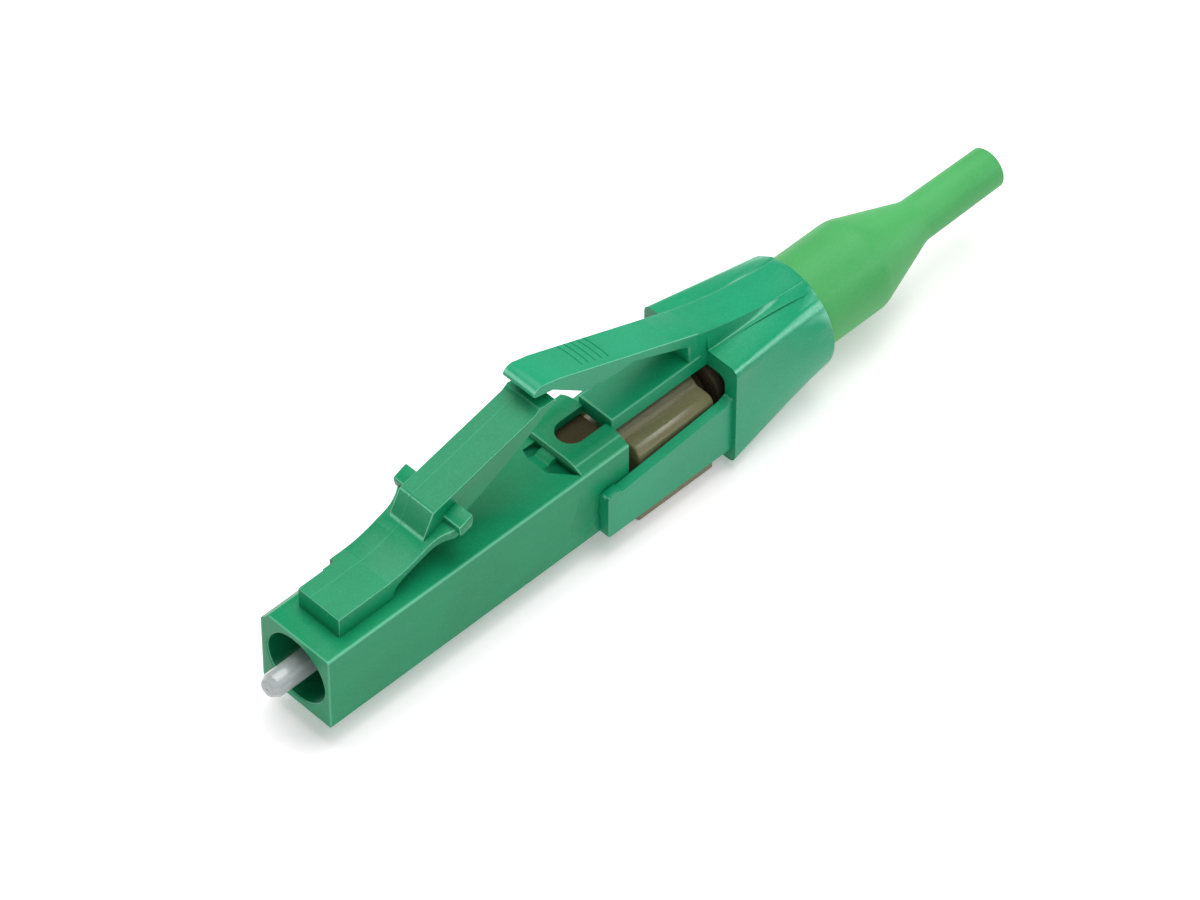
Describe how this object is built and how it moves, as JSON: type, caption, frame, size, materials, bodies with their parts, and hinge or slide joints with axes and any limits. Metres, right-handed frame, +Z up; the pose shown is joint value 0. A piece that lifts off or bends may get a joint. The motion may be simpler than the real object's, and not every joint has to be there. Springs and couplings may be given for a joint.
{
  "type": "fibre optic connector plug",
  "caption": "Small square fibre plug with a white ceramic pin, sprung latch arm under a thumb trigger, hooked rear collar, rotating cam and a soft boot.",
  "frame": {"origin": "centre of the square plug body's front face, on the optical axis", "axes": "+X back along the optical axis, away from the ceramic pin's tip, +Z up on the latch side, +Y completes a right-handed frame"},
  "size_m": [0.047, 0.006, 0.0123],
  "materials": {
    "green_plastic": "satin-gloss moulded plastic",
    "latch_plastic": "satin-gloss moulded plastic",
    "shroud_plastic": "satin-gloss moulded plastic",
    "trigger_plastic": "satin-gloss moulded plastic",
    "zirconia": "polished zirconia",
    "fibre_glass": "bare glass fibre",
    "brown_plastic": "moulded plastic",
    "spring_steel": "drawn spring wire",
    "dark_brown_plastic": "moulded plastic",
    "splice_plastic": "moulded plastic",
    "lead_plastic": "moulded plastic",
    "olive_plastic": "satin moulded plastic",
    "crimp_metal": "soft aluminium",
    "boot_rubber": "soft smooth elastomer"
  },
  "bodies": {
    "plug": {"housing": "green_plastic", "shroud": "shroud_plastic", "spring_retainer": "dark_brown_plastic", "spring": "spring_steel"},
    "latch": {"latch_lever": "latch_plastic"},
    "trigger": {"trigger_arm": "trigger_plastic"},
    "ferrule_train": {"ferrule": "zirconia", "fibre_stub": "fibre_glass", "ferrule_holder": "brown_plastic", "splice_upper": "splice_plastic", "splice_lower": "splice_plastic", "lead_in_tube": "lead_plastic", "cam": "olive_plastic", "crimp_tube": "crimp_metal", "boot": "boot_rubber"}
  },
  "joints": [
    {"name": "trigger_press", "type": "hinge", "parent": "plug", "child": "trigger", "pos_m": [0.02415, 0, 0.00432], "axis": [0, -1, 0], "range_deg": [0, 18], "stiffness_Nm_per_rad": 0.02},
    {"name": "latch_press", "type": "hinge", "parent": "plug", "child": "latch", "pos_m": [0.0052, 0, 0.00324], "axis": [0, 1, 0], "range_deg": [0, 16.8], "stiffness_Nm_per_rad": 0.02},
    {"name": "ferrule_float", "type": "slide", "parent": "plug", "child": "ferrule_train", "axis": [1, 0, 0], "range_m": [0, 0.0005], "stiffness_N_per_m": 1500, "springref_m": -0.0035, "deforming": ["spring"]}
  ],
  "couplings": [
    {"joint": "latch_press", "follows": "trigger_press", "ratio": 0.92}
  ]
}
